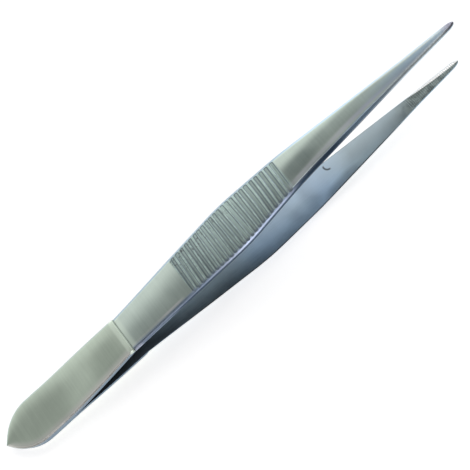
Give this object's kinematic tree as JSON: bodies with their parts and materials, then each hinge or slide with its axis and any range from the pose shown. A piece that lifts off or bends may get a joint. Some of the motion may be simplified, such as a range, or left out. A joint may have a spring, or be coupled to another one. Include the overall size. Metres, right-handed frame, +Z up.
{
  "type": "thumb forceps",
  "caption": "Fine-point thumb forceps: two bowed, bevelled steel arms welded at a pointed butt, with a ridged grip and narrow toothed jaws.",
  "frame": {"origin": "on the surface the forceps lie on, under the middle of their box", "axes": "+X from the butt towards the jaws, +Y across the arms, +Z up; the lower arm's outer face touches the surface at the butt and at its bend"},
  "size_m": [0.1154, 0.0094, 0.0243],
  "materials": {
    "satin_steel": "satin ground stainless steel"
  },
  "bodies": {
    "root": {"upper_arm": "satin_steel", "lower_arm": "satin_steel"}
  },
  "joints": []
}
